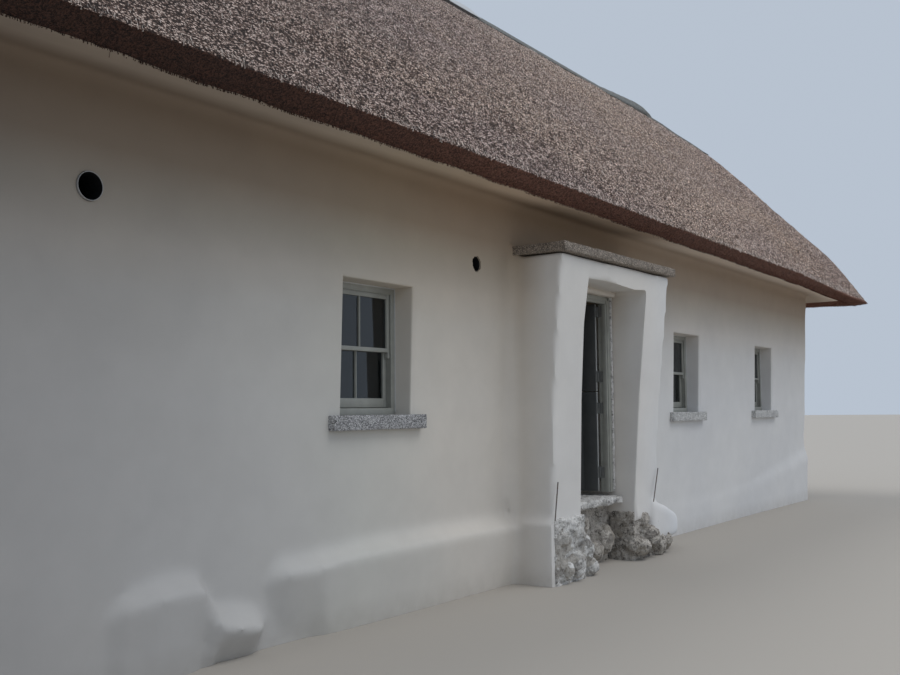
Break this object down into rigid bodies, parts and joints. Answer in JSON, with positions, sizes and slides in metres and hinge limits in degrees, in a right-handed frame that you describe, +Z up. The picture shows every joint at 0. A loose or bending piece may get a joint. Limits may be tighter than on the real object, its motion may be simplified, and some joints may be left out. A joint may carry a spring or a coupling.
{
  "type": "thatched cottage",
  "caption": "Long single-storey cottage with lime-plastered stone walls, hipped reed thatch, sash windows, granite sills and a half door in a stone porch.",
  "frame": {"origin": "middle of the plan at the level of the lowest ground, where the walls rest", "axes": "+X along the front wall, to the right of someone facing the door; +Y from the front wall to the back wall; +Z up"},
  "size_m": [20.161, 6.72, 7.2554],
  "materials": {
    "plaster": "off-white lime plaster, hand-floated, matt",
    "thatch": "weathered reed thatch, butt ends showing, matt",
    "ridge": "unfinished ridge roll of reed under netting, matt",
    "granite": "speckled grey granite, punched face",
    "joinery": "mid-grey painted timber, satin",
    "leaf": "dark-grey painted timber, satin",
    "glass": "clear window glass",
    "rubble": "rough lime mortar and field stone",
    "floor": "floated concrete floor",
    "steel": "bare steel, dulled",
    "duct": "grey duct pipe, matt"
  },
  "bodies": {
    "house": {"back_wall": "plaster", "back_window_1_glass": "glass", "back_window_1_sashes": "joinery", "back_window_1_sill": "granite", "back_window_2_glass": "glass", "back_window_2_sashes": "joinery", "back_window_2_sill": "granite", "door_frame_packing": "rubble", "door_head": "joinery", "door_jamb_left": "joinery", "door_jamb_right": "joinery", "doorway_footing": "rubble", "floor_slab": "floor", "front_wall_left": "plaster", "front_wall_over_door": "plaster", "front_wall_right": "plaster", "front_window_1_glass": "glass", "front_window_1_sashes": "joinery", "front_window_1_sill": "granite", "front_window_2_glass": "glass", "front_window_2_sashes": "joinery", "front_window_2_sill": "granite", "front_window_3_glass": "glass", "front_window_3_sashes": "joinery", "front_window_3_sill": "granite", "front_window_4_glass": "glass", "front_window_4_sashes": "joinery", "front_window_4_sill": "granite", "left_end_wall": "plaster", "porch_cap": "granite", "porch_head": "plaster", "porch_left_cheek": "plaster", "porch_left_footing": "rubble", "porch_right_cheek": "plaster", "porch_right_footing": "rubble", "ridge_cover": "ridge", "right_end_wall": "plaster", "soffit_back": "plaster", "soffit_front": "plaster", "soffit_left_end": "plaster", "soffit_right_end": "plaster", "starter_bar_left": "steel", "starter_bar_right": "steel", "thatch_back_slope": "thatch", "thatch_front_slope": "thatch", "thatch_left_hip": "thatch", "thatch_right_hip": "thatch", "vent_duct": "duct"},
    "lower_leaf": {"lower_leaf": "leaf", "lower_leaf_bottom_hinge": "steel", "lower_leaf_top_hinge": "steel"},
    "upper_leaf": {"upper_leaf": "leaf", "upper_leaf_bottom_hinge": "steel", "upper_leaf_top_hinge": "steel"}
  },
  "joints": [
    {"name": "lower_leaf_hinge", "type": "hinge", "parent": "house", "child": "lower_leaf", "pos_m": [0.5, -2.584, 1.29], "axis": [0, 0, 1], "range_deg": [0, 90]},
    {"name": "upper_leaf_hinge", "type": "hinge", "parent": "house", "child": "upper_leaf", "pos_m": [0.5, -2.584, 2.31], "axis": [0, 0, 1], "range_deg": [0, 90]}
  ]
}
